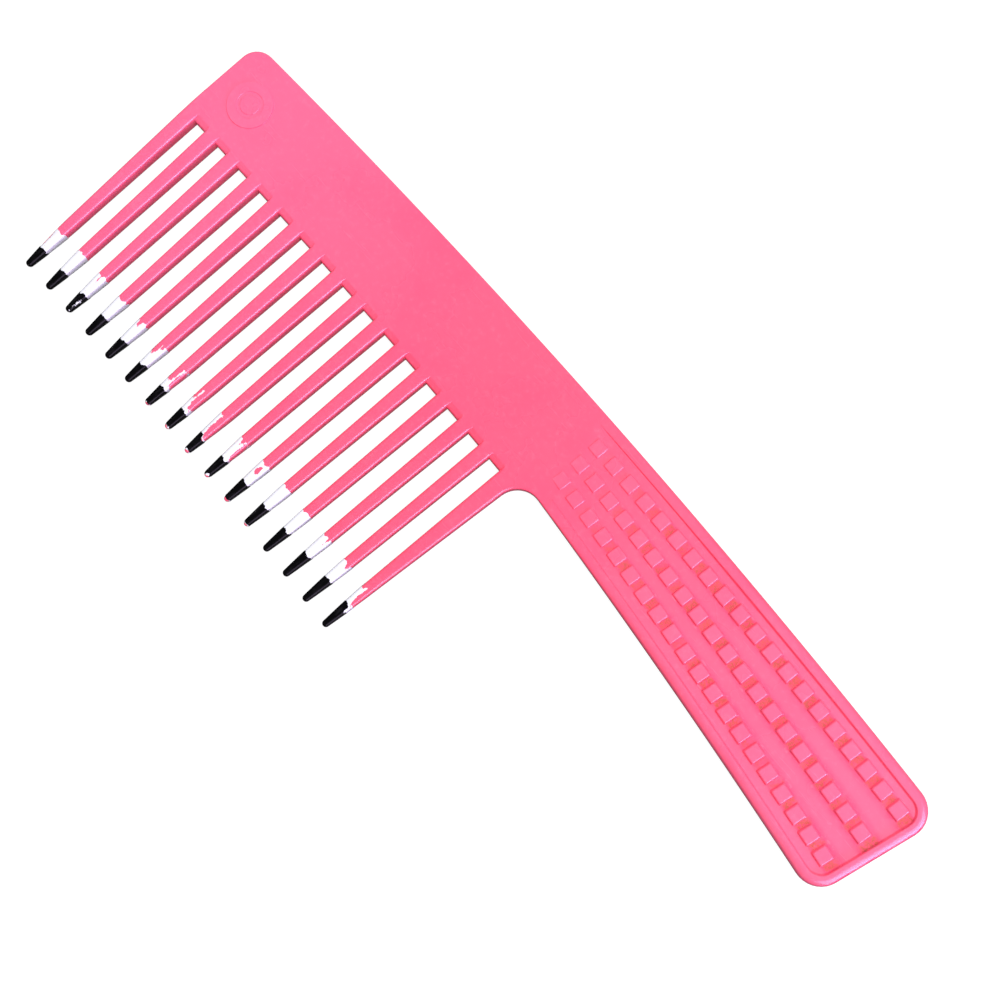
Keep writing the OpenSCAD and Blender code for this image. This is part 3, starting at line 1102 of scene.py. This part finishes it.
class Socket:
    """An output socket that takes part in arithmetic."""

    def __init__(self, graph: Graph, socket: bpy.types.NodeSocket) -> None:
        """Wraps a socket of graph."""
        self.graph = graph
        self.socket = socket

    def __add__(self, other: object) -> "Socket":
        """Sum."""
        return self.graph.maths("ADD", self, other)

    __radd__ = __add__

    def __mul__(self, other: object) -> "Socket":
        """Product."""
        return self.graph.maths("MULTIPLY", self, other)

    __rmul__ = __mul__

    def __sub__(self, other: object) -> "Socket":
        """Difference."""
        return self.graph.maths("SUBTRACT", self, other)

    def __rsub__(self, other: object) -> "Socket":
        """Difference, turned round."""
        return self.graph.maths("SUBTRACT", other, self)

    def __truediv__(self, other: object) -> "Socket":
        """Quotient."""
        return self.graph.maths("DIVIDE", self, other)

    def size(self) -> "Socket":
        """Absolute value."""
        return self.graph.maths("ABSOLUTE", self)

    def least(self, other: object) -> "Socket":
        """The smaller of two."""
        return self.graph.maths("MINIMUM", self, other)

    def step(self, low: float, high: float) -> "Socket":
        """Smooth step from low to high."""
        made = self.graph.node("ShaderNodeMapRange", {"interpolation_type": "SMOOTHSTEP"})
        for name, value in (("Value", self), ("From Min", low), ("From Max", high)):
            self.graph.feed(made.inputs[name], value)
        return self.graph.wrap(made.outputs[0])

    def nearest(self) -> "Socket":
        """Distance to the nearest whole number."""
        return (self - self.graph.maths("ROUND", self)).size()


# --------------------------------------------------------------------------- finishes


Colour = tuple[float, float, float, float]


def srgb(red: int, green: int, blue: int) -> Colour:
    """Linear colour of a screen colour."""
    parts = []
    for value in (red, green, blue):
        v = value / 255
        parts.append(v / 12.92 if v <= 0.04045 else ((v + 0.055) / 1.055) ** 2.4)
    return parts[0], parts[1], parts[2], 1.0


@dataclass(frozen=True)
class Finish:
    """A surface finish that makes one material."""

    name: str
    roughness: float = 0.4

    def material(self) -> bpy.types.Material:
        """Makes the material."""
        made = bpy.data.materials.new(self.name)
        made.use_nodes = True
        tree = made.node_tree
        tree.nodes.clear()
        graph = Graph(tree)
        shader = graph.node("ShaderNodeBsdfPrincipled")
        out = graph.node("ShaderNodeOutputMaterial")
        tree.links.new(shader.outputs[0], out.inputs[0])
        self.dress(graph, shader)
        return made

    def dress(self, graph: Graph, shader: bpy.types.Node) -> None:
        """Sets and links the shader's inputs."""
        raise NotImplementedError

    @staticmethod
    def place(graph: Graph) -> bpy.types.NodeSocket:
        """Object coordinates, which are row metres."""
        return graph.node("ShaderNodeTexCoord").outputs["Object"]

    @staticmethod
    def bump(graph: Graph, shader: bpy.types.Node, height: Socket, strength: float, distance: float) -> None:
        """Links a height to the shader's normal."""
        made = graph.node("ShaderNodeBump", Strength=strength, Distance=distance, Height=height)
        graph.feed(shader.inputs["Normal"], made.outputs[0])


@dataclass(frozen=True)
class PinkPlastic(Finish):
    """Satin pink moulded plastic with painted light: lighter at the head and towards the handle's end than in
    the middle, standing in for uneven light along the comb; grime between the studs, and painted shade along
    the stud rows.
    """

    name: str = "pink_plastic"
    roughness: float = 0.27
    # Head, middle and end tones are painted light: lighter where more light fell along the comb.
    head: Colour = srgb(253, 100, 137)
    middle: Colour = srgb(252, 86, 116)
    end: Colour = srgb(246, 97, 130)
    # Dark pink: random mottling, and painted shade along the stud rows.
    deep_tone_and_shade: Colour = srgb(226, 60, 104)
    grime: Colour = srgb(160, 84, 56)
    scuff: Colour = srgb(252, 190, 205)
    grime_and_shade: bool = True
    length: float = 0.222

    def dress(self, graph: Graph, shader: bpy.types.Node) -> None:
        """Sets and links the shader's inputs."""
        place = self.place(graph)
        x, y, z = graph.parts(place)
        along = (x + self.length / 2) / self.length
        # Painted light: the shift from head to middle to end colour stands in for light falling unevenly
        # along the comb.
        base = graph.mix(along.step(0.0, 0.45), self.head, self.middle)
        base = graph.mix(along.step(0.5, 1.0), base, self.end)
        cloud = graph.noise(place, 45.0, 4.0)
        fine = graph.noise(place, 900.0, 3.0)
        base = graph.mix(cloud.step(0.42, 0.75) * 0.22, base, self.deep_tone_and_shade)
        base = graph.mix(fine.step(0.5, 0.8) * 0.06, base, self.scuff)
        specks = graph.noise(place, 380.0, 2.0, 0.7)
        base = graph.mix(specks.step(0.80, 0.86) * 0.4, base, self.scuff)
        rough = cloud * 0.12 + (self.roughness - 0.06)
        # Grime between the studs, and painted shade along the stud rows.
        if self.grime_and_shade:
            base, rough = self._grime_and_row_shade(graph, base, rough, place)
        scratch_place = graph.node("ShaderNodeMapping", Vector=place)
        scratch_place.inputs["Scale"].default_value = (60.0, 900.0, 60.0)
        scratch = graph.noise(scratch_place.outputs[0], 1.0, 5.0, 0.6)
        graph.feed(shader.inputs["Base Color"], base)
        graph.feed(shader.inputs["Roughness"], rough + scratch.step(0.6, 0.8) * 0.08)
        shader.inputs["Subsurface Weight"].default_value = 0.12
        shader.inputs["Subsurface Radius"].default_value = (1.0, 0.3, 0.3)
        shader.inputs["Subsurface Scale"].default_value = 0.0012
        shader.inputs["Specular IOR Level"].default_value = 0.45
        height = fine * 0.5 + scratch * 0.15 + cloud * 1.0
        self.bump(graph, shader, height, 0.16, 0.00012)

    def _grime_and_row_shade(self, graph: Graph, base: object, rough: Socket, place: object) -> tuple[object, Socket]:
        """Brown grime packed between the studs of a row, a patchy lighter line beside each row, and painted
        shade on the floor along each row, all strongest away from the neck.
        """
        run, row, depth = graph.parts(graph.attribute("grip_grid", "Vector"))
        between = (run + 0.5).nearest()
        across = row.nearest()
        gap = 1.0 - between.step(0.12, 0.24)
        inside = row.step(-0.45, -0.3) * (1.0 - row.step(2.3, 2.45)) * run.step(-0.9, -0.6)
        band = (1.0 - across.step(0.17, 0.27)) * inside
        patch = graph.noise(place, 330.0, 4.0, 0.65)
        grain = graph.noise(place, 2400.0, 2.0, 0.7)
        amount = graph.noise(graph.join(run * 0.31, row * 0.9, 3.0), 1.0, 2.0)
        further_and_deeper = run.step(0.5, 5.5) * depth.step(0.15, 0.5)
        mask = gap * band * further_and_deeper * (patch + amount * 0.9).step(0.66, 1.0) * grain.step(0.32, 0.58)
        halo = (1.0 - (across - 0.28).size().step(0.0, 0.06)) * further_and_deeper * inside * patch.step(0.56, 0.66) * 0.35
        base = graph.mix(halo, base, self.scuff)
        # Painted shade: the floor along each row of studs is darkened where the studs shade it, more where
        # the panel is deeper.
        row_shade = (1.0 - across.step(0.2, 0.42)) * further_and_deeper * inside * (patch.step(0.35, 0.65) * 0.45 + 0.35)
        base = graph.mix(row_shade, base, self.deep_tone_and_shade)
        return graph.mix(mask * 0.75, base, self.grime), rough + mask * 0.3


@dataclass(frozen=True)
class DippedPaint(Finish):
    """A dipped coat of enamel, gone where its cover has run out."""

    name: str = "dipped_paint"
    roughness: float = 0.35
    colour: Colour = srgb(226, 226, 236)
    stain_and_sheen: Colour = srgb(196, 188, 208)
    streak: float = 0.25
    shine: float = 0.5
    ragged: float = 0.55

    def dress(self, graph: Graph, shader: bpy.types.Node) -> None:
        """Sets and links the shader's inputs."""
        place = self.place(graph)
        cover = graph.wrap(graph.attribute("cover", "Fac"))
        ragged = graph.noise(place, 1500.0, 3.0, 0.7) - 0.5
        left = cover + ragged * self.ragged
        stretched = graph.node("ShaderNodeMapping", Vector=place)
        stretched.inputs["Scale"].default_value = (1500.0, 260.0, 1500.0)
        streaks = graph.noise(stretched.outputs[0], 1.0, 3.0, 0.6)
        cloud = graph.noise(place, 420.0, 3.0)
        # Streaks and clouds toward the second colour: darker stains on the white coat; on the black coat,
        # whose second colour is a lighter grey, they are painted highlight streaks.
        tone = graph.mix((streaks.step(0.52, 0.74) * self.streak).least(1.0), self.colour, self.stain_and_sheen)
        tone = graph.mix(cloud.step(0.5, 0.8) * self.streak * 0.6, tone, self.stain_and_sheen)
        graph.feed(shader.inputs["Base Color"], tone)
        graph.feed(shader.inputs["Roughness"], streaks * 0.2 + (self.roughness - 0.1))
        shader.inputs["Specular IOR Level"].default_value = self.shine
        graph.feed(shader.inputs["Alpha"], left.step(-0.06, 0.06))
        self.bump(graph, shader, streaks * 0.6 + left.step(-0.1, 0.35), 0.3, 0.0001)


@dataclass(frozen=True)
class PaleFloor(Finish):
    """A plain pale table top."""

    name: str = "pale_floor"
    roughness: float = 0.9
    colour: Colour = (0.12, 0.12, 0.12, 1.0)
    glow: float = 0.93

    def dress(self, graph: Graph, shader: bpy.types.Node) -> None:
        """Sets and links the shader's inputs."""
        shader.inputs["Base Color"].default_value = self.colour
        shader.inputs["Roughness"].default_value = self.roughness
        shader.inputs["Emission Color"].default_value = (1.0, 1.0, 1.0, 1.0)
        shader.inputs["Emission Strength"].default_value = self.glow


# --------------------------------------------------------------------------- studs and mark


@dataclass
class GripStuds:
    """The three rows of square studs on one face, laid out by a Geometry Nodes tree."""

    plan: CombPlan
    name: str
    node: str
    underside: bool
    side: float = 3.3
    arris: float = 0.36
    draft: float = 0.24
    depth: float = 1.02
    corner: float = 0.28
    seed: int = 11

    def _stud(self) -> bpy.types.Object:
        """One stud with its top at zero: drafted sides, rounded corners and arris."""
        rings: list[Ring] = [(self.side / 2 + self.draft, -self.depth), (self.side / 2, -self.arris)]
        for k in range(1, 4):
            a = math.pi / 2 * k / 3
            rings.append((self.side / 2 - self.arris * (1 - math.cos(a)), -self.arris * (1 - math.sin(a))))
        points: list[Vector] = []
        faces: list[tuple[int, ...]] = []
        per = 4 * 3
        for size, z in rings:
            r = self.corner
            for quarter in range(4):
                middle = math.radians(45 + 90 * quarter)
                cx = math.copysign(size - r, math.cos(middle))
                cy = math.copysign(size - r, math.sin(middle))
                for step in (-1, 0, 1):
                    a = middle + math.radians(45) * step
                    points.append(Vector((cx + r * math.cos(a), cy + r * math.sin(a), z)) * MM)
        for level in range(len(rings) - 1):
            for k in range(per):
                n = (k + 1) % per
                faces.append((level * per + k, level * per + n, (level + 1) * per + n, (level + 1) * per + k))
        faces.append(tuple(range(per))[::-1])
        faces.append(tuple((len(rings) - 1) * per + k for k in range(per)))
        return mesh_object(self.name + "_one", points, faces)

    def build(self, material: bpy.types.Material) -> bpy.types.Object:
        """Builds all the studs of this face.

        Args:
            material: the studs' finish.

        Returns:
            The piece, as a plain mesh.
        """
        stud = self._stud()
        host = bpy.data.objects.new(self.name, bpy.data.meshes.new(self.name))
        bpy.context.scene.collection.objects.link(host)
        tree = self._tree(material)
        modifier = host.modifiers.new("studs", "NODES")
        modifier.node_group = tree
        wanted = {
            "Stud": stud, "Per row": self.plan.studs_per_row, "Seed": self.seed,
            "Underside": float(self.underside),
        }
        for item in tree.interface.items_tree:
            if item.item_type == "SOCKET" and item.in_out == "INPUT" and item.name in wanted:
                modifier[item.identifier] = wanted[item.name]
        bake(host)
        bpy.data.objects.remove(stud)
        for polygon in host.data.polygons:
            polygon.use_smooth = True
        host.data.set_sharp_from_angle(angle=SHARP_ANGLE)
        return weigh_normals(host)

    def _tree(self, material: bpy.types.Material) -> bpy.types.NodeTree:
        """The layout: points on two arches and halfway between them, with a stud on each."""
        plan, bench = self.plan, self.plan.bench
        tree = bpy.data.node_groups.new(self.name + "_rows", "GeometryNodeTree")
        for name, kind in (("Stud", "NodeSocketObject"), ("Per row", "NodeSocketInt"),
                           ("Seed", "NodeSocketInt"), ("Underside", "NodeSocketFloat")):
            tree.interface.new_socket(name, in_out="INPUT", socket_type=kind)
        tree.interface.new_socket("Geometry", in_out="OUTPUT", socket_type="NodeSocketGeometry")
        graph = Graph(tree)
        given = graph.node("NodeGroupInput")
        per_row = graph.wrap(given.outputs["Per row"])
        underside = graph.wrap(given.outputs["Underside"])
        index = graph.wrap(graph.node("GeometryNodeInputIndex").outputs[0])
        row = graph.maths("FLOOR", (index + 0.5) / per_row)
        column = index - row * per_row
        share = row / 2.0
        first = plan.panel_x + plan.first_stud_inset
        spots = []
        for centre, radius, pitch in (
            (plan.back_centre, plan.bend_radius - plan.back_row_inset, plan.back_row_pitch),
            (plan.belly_centre, plan.bend_radius + plan.belly_row_inset, plan.belly_row_pitch),
        ):
            start = math.asin((first - centre[0]) / radius)
            turn = column * (pitch / radius) + start
            sx = graph.maths("SINE", turn) * radius + centre[0]
            sy = (graph.maths("COSINE", turn) * radius - radius) + (centre[1] + radius)
            spots.append((sx, sy, turn))
        (bx, by, bt), (lx, ly, lt) = spots
        px = bx + (lx - bx) * share
        py = by + (ly - by) * share
        turn = bt + (lt - bt) * share
        top = bench.thickness / 2 * (1.0 - underside * 2.0) + bench.middle_z
        place = graph.join((px + bench.head_x) * MM, (py + bench.crest_y) * MM, top * MM)
        points = graph.node("GeometryNodePoints", Count=per_row * 3.0, Position=place)
        jitter = graph.node("FunctionNodeRandomValue", {"data_type": "FLOAT"})
        jitter.inputs[2].default_value = 0.985
        jitter.inputs[3].default_value = 1.0
        graph.feed(jitter.inputs["Seed"], given.outputs["Seed"])
        info = graph.node("GeometryNodeObjectInfo", Object=given.outputs["Stud"])
        spin = graph.join(underside * math.pi, 0.0, turn * -1.0)
        size = graph.wrap(jitter.outputs[1])
        each = graph.node("GeometryNodeInstanceOnPoints", Points=points.outputs[0],
                          Instance=info.outputs["Geometry"], Rotation=spin,
                          Scale=graph.join(size, size, 1.0))
        real = graph.node("GeometryNodeRealizeInstances", Geometry=each.outputs[0])
        dressed = graph.node("GeometryNodeSetMaterial", Geometry=real.outputs[0], Material=material)
        out = graph.node("NodeGroupOutput")
        tree.links.new(dressed.outputs[0], out.inputs[0])
        return tree


@dataclass
class HeadMark:
    """Plain raised disc with a ring groove on the head."""

    plan: CombPlan
    diameter: float = 10.6
    height: float = 0.35
    from_head: float = 9.8
    from_crest: float = 13.7
    groove: float = 0.8
    edge: float = 0.12
    steps: int = 72

    def build(self) -> bpy.types.Object:
        """Spins the disc's profile."""
        r, h, e = self.diameter / 2, self.height, self.edge
        inner, outer = r / 2 - self.groove / 2, r / 2 + self.groove / 2
        dip = h / 2
        profile = [(r, -0.1), (r, h - e), (r - 0.3 * e, h - 0.3 * e), (r - e, h)]
        profile += [(outer + e / 2, h), (outer, h - e / 2), (outer - e / 3, dip), (inner + e / 3, dip)]
        profile += [(inner, h - e / 2), (inner - e / 2, h)]
        base = self.plan.half
        points: list[Vector] = []
        faces: list[tuple[int, ...]] = []
        place = self.plan.bench.place
        for k in range(self.steps):
            a = math.tau * k / self.steps
            for radius, z in profile:
                x = self.from_head + radius * math.cos(a)
                points.append(place(x, -self.from_crest + radius * math.sin(a), base + z))
        count = len(profile)
        for k in range(self.steps):
            n = (k + 1) % self.steps
            for j in range(count - 1):
                faces.append((k * count + j, n * count + j, n * count + j + 1, k * count + j + 1))
        faces.append(tuple(k * count + count - 1 for k in range(self.steps)))
        faces.append(tuple(k * count for k in reversed(range(self.steps))))
        return weigh_normals(mesh_object("head_disc", points, faces))


# --------------------------------------------------------------------------- the set


@dataclass
class Stage:
    """Floor, lights and camera."""

    plan: CombPlan
    distance: float = 330.0
    tilt: float = math.radians(6.51)
    roll: float = math.radians(49.0)
    aim_from_head: float = 112.7
    aim_from_crest: float = 29.25
    lens: float = 55.56
    sensor: float = 36.0
    floor_reach: float = 3.0
    floor_drop: float = 0.00002
    sky: float = 0.17

    def build(self) -> None:
        """Builds the set."""
        self._floor()
        self._lights()
        self._camera()

    def _floor(self) -> None:
        """A large pale sheet just under the comb."""
        r, z = self.floor_reach, -self.floor_drop
        mesh = bpy.data.meshes.new("floor")
        mesh.from_pydata([(-r, -r, z), (r, -r, z), (r, r, z), (-r, r, z)], [], [(0, 1, 2, 3)])
        floor = bpy.data.objects.new("floor", mesh)
        bpy.context.scene.collection.objects.link(floor)
        sheet = PaleFloor().material()
        sheet.cycles.emission_sampling = "NONE"
        floor.data.materials.append(sheet)
        floor.visible_diffuse = False
        floor.visible_glossy = False

    def _area(self, name: str, place: Vector, size: Point, power: float,
              colour: tuple[float, float, float]) -> bpy.types.Object:
        """A soft light aimed at the comb.

        Args:
            name: its name.
            place: its middle, in metres.
            size: its sides, the level one first, in metres.
            power: its power in watts.
            colour: its colour.

        Returns:
            The light.
        """
        data = bpy.data.lights.new(name, "AREA")
        data.shape = "RECTANGLE"
        data.size, data.size_y = size
        data.color = colour
        data.energy = power
        light = bpy.data.objects.new(name, data)
        light.location = place
        light.rotation_euler = place.to_track_quat("Z", "Y").to_euler()
        bpy.context.scene.collection.objects.link(light)
        return light

    def _lights(self) -> None:
        """A soft light overhead, a lilac one and a broad glint from the handle's side, and a dim sky."""
        key = self._area("overhead", Vector((0.12, 0.2, 0.8)), (0.45, 0.45), 10.3, (1.0, 1.0, 1.0))
        key.visible_glossy = False
        self._area("side", Vector((0.8, 0.1, 0.25)), (0.4, 0.3), 3.2, (0.7, 0.4, 1.0))
        glint = self._area("edge_glint", Vector((0.75, 0.02, 0.34)), (1.0, 0.8), 22.0, (0.84, 0.68, 1.0))
        glint.visible_diffuse = False
        world = bpy.data.worlds.new("studio")
        world.use_nodes = True
        world.node_tree.nodes["Background"].inputs[0].default_value = (1.0, 1.0, 1.0, 1.0)
        world.node_tree.nodes["Background"].inputs[1].default_value = self.sky
        bpy.context.scene.world = world
        bpy.context.scene.view_settings.view_transform = "Standard"

    def _camera(self) -> None:
        """Looks down at the comb, which lies slantwise across the frame."""
        plan = self.plan
        ct, st = math.cos(self.tilt), math.sin(self.tilt)
        cr, sr = math.cos(self.roll), math.sin(self.roll)
        right = Vector((cr * ct, sr, -cr * st))
        up = Vector((-sr * ct, cr, sr * st))
        back = Vector((st, 0.0, ct))
        aim = plan.bench.place(self.aim_from_head, -self.aim_from_crest, plan.half)
        data = bpy.data.cameras.new("camera")
        data.lens = self.lens
        data.sensor_width = self.sensor
        data.clip_start = 0.01
        camera = bpy.data.objects.new("camera", data)
        turn = Matrix((right, up, back)).transposed().to_4x4()
        camera.matrix_world = Matrix.Translation(aim + back * self.distance * MM) @ turn
        bpy.context.scene.collection.objects.link(camera)
        bpy.context.scene.camera = camera


# --------------------------------------------------------------------------- assembly


WORN_TEETH = range(7, 13)
WORN_TIP = 0.8
LESS_WORN_TIP = -0.25


def wear_of(tooth: int) -> tuple[Chip, ...]:
    """Chips out of the upper edge of a tooth's white coat."""
    wear = {
        1: (Chip(-0.95, 2.5, 0.35, 3.2),),
        3: (Chip(0.05, 0.2, 0.16, 1.1),),
        5: (Chip(-0.2, 0.0, 0.4, 1.5),),
        6: (Chip(-0.45, 0.6, 0.55, 2.4), Chip(0.35, 0.1, 0.25, 0.8)),
        7: (Chip(-0.45, 1.4, 0.75, 2.6), Chip(0.85, 2.8, 0.45, 2.6)),
        8: (Chip(0.6, 2.2, 0.75, 3.2), Chip(-0.7, 1.0, 0.45, 1.5)),
        9: (Chip(0.6, 3.0, 0.9, 4.4),),
        10: (Chip(0.0, 0.2, 0.3, 1.2), Chip(0.9, 3.0, 0.4, 2.8)),
        11: (Chip(0.0, 2.2, 0.42, 1.1),),
        14: (Chip(0.5, 0.2, 0.15, 1.6),),
        15: (Chip(0.55, 0.1, 0.35, 1.2),),
        16: (Chip(0.7, 2.4, 0.7, 3.2), Chip(-0.6, 0.2, 0.4, 0.8)),
    }
    return wear.get(tooth, ())


def dark_wear_of(tooth: int) -> tuple[Chip, ...]:
    """Chips out of the black coat."""
    wear = {
        3: (Chip(0.7, 3.6, 0.2, 1.6),),
        9: (Chip(0.8, 0.1, 0.75, 0.9),),
        16: (Chip(0.9, 0.6, 0.35, 1.2),),
    }
    return wear.get(tooth, ())


def settle(obj: bpy.types.Object, material: bpy.types.Material, nodes: Iterable[str]) -> None:
    """Dresses a piece and ties it to the frame.

    Args:
        obj: the piece.
        material: its finish.
        nodes: the CAD nodes it stands for.
    """
    obj.data.materials.clear()
    obj.data.materials.append(material)
    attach(obj, "root")
    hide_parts(*nodes)
    LOG.info("%s: %d corners, stands for %s", obj.name, len(obj.data.vertices), ", ".join(nodes))


def main() -> None:
    """Builds the comb piece by piece, then the set."""
    plan = CombPlan(Bench())
    teeth = ToothShape(plan)
    plastic = PinkPlastic().material()
    # Painted light: the studs' head, middle and end colours also stand in for uneven light along the comb;
    # they carry no grime or row shade.
    stud_plastic = PinkPlastic(
        name="stud_plastic", grime_and_shade=False, head=srgb(253, 102, 139), middle=srgb(250, 92, 122),
        end=srgb(248, 97, 131), roughness=0.27,
    ).material()
    white = DippedPaint(name="white_enamel").material()
    # Its lighter grey second colour paints highlight streaks on the black coat.
    black = DippedPaint(
        name="black_enamel", colour=srgb(5, 5, 6), stain_and_sheen=srgb(80, 76, 84), streak=0.1, roughness=0.3,
        shine=0.08,
    ).material()
    body_nodes = ["spine", "handle", "neck_fillet"] + [f"tooth_{i:02d}" for i in range(1, TEETH + 1)]
    settle(Moulding(plan, teeth).build(), plastic, body_nodes)
    for name, node, underside in (
        ("studs_upper", "grip_studs_face", False),
        ("studs_under", "grip_studs_back", True),
    ):
        settle(GripStuds(plan, name, node, underside).build(stud_plastic), stud_plastic, [node])
    settle(HeadMark(plan).build(), stud_plastic, ["head_mark"])
    dice = random.Random(5)
    for i in range(1, TEETH + 1):
        wear = dice.uniform(0.8, 1.2) * (WORN_TIP if i in WORN_TEETH else LESS_WORN_TIP)
        pale = ToothPaint(plan, teeth, Coat.WHITE, i, wear_of(i), wear * 0.8)
        dark = ToothPaint(plan, teeth, Coat.BLACK, i, dark_wear_of(i), wear)
        settle(pale.build(), white, [pale.node])
        settle(dark.build(), black, [dark.node])
    Stage(plan).build()


if __name__ == "__main__":
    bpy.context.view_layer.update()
    main()
